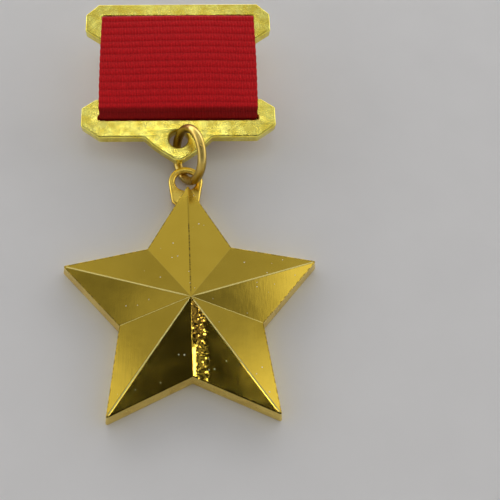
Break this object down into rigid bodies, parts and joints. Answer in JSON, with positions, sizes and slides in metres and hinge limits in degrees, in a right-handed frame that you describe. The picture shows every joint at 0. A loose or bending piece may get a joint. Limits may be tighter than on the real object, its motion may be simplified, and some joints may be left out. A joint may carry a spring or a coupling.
{
  "type": "star medal on ribbon bar",
  "caption": "Faceted five-pointed gold star hanging by a ring from a rectangular gold frame wrapped in ribbed red ribbon, with a brooch pin and safety catch behind.",
  "frame": {"origin": "on the surface the medal lies on, under the middle of its outline seen from above", "axes": "+Z out of the star's face, +Y along the medal from star to ribbon bar, +X to the right as the medal is read"},
  "size_m": [0.029, 0.0529, 0.0083],
  "materials": {
    "star_gold": "polished gold plate",
    "loop_gold": "polished gold plate",
    "ring_gold": "polished gold plate",
    "frame_gold": "fine-grained satin gold plate",
    "core_brass": "plain stamped",
    "ribbon_red": "ribbed silk moire",
    "back_gold": "satin gold plate",
    "pin_metal": "plated, tumbled",
    "rivet_brass": "plain",
    "needle_steel": "drawn wire",
    "catch_metal": "plated, tumbled",
    "lock_metal": "plated, tumbled"
  },
  "bodies": {
    "bar": {"suspension_frame": "frame_gold", "ribbon_core": "core_brass", "ribbon": "ribbon_red", "backing_plate": "back_gold", "pin_bar": "pin_metal", "frame_rivet_left": "rivet_brass", "frame_rivet_right": "rivet_brass", "hinge_rivet": "rivet_brass", "catch_case": "catch_metal"},
    "ring": {"jump_ring": "ring_gold"},
    "star": {"star_body": "star_gold", "star_eyelet": "loop_gold"},
    "needle": {"pin_needle": "needle_steel"},
    "lock": {"catch_lock": "lock_metal"}
  },
  "joints": [
    {"name": "ring_sway", "type": "hinge", "parent": "bar", "child": "ring", "pos_m": [-0.00121, 0.00708, 0.00287], "axis": [0, -0.1942, 0.981], "range_deg": [-30, 30]},
    {"name": "star_sway", "type": "hinge", "parent": "ring", "child": "star", "pos_m": [-0.00037, 0.0019, 0.00154], "axis": [0, 0, 1], "range_deg": [-45, 28]},
    {"name": "needle_hinge", "type": "hinge", "parent": "bar", "child": "needle", "pos_m": [-0.00881, 0.01756, 0.00116], "axis": [0, 0.981, 0.1942], "range_deg": [0, 80]},
    {"name": "catch_turn", "type": "hinge", "parent": "bar", "child": "lock", "pos_m": [0.00599, 0.01756, 0.00116], "axis": [-1, 0, 0], "range_deg": [0, 90]}
  ]
}
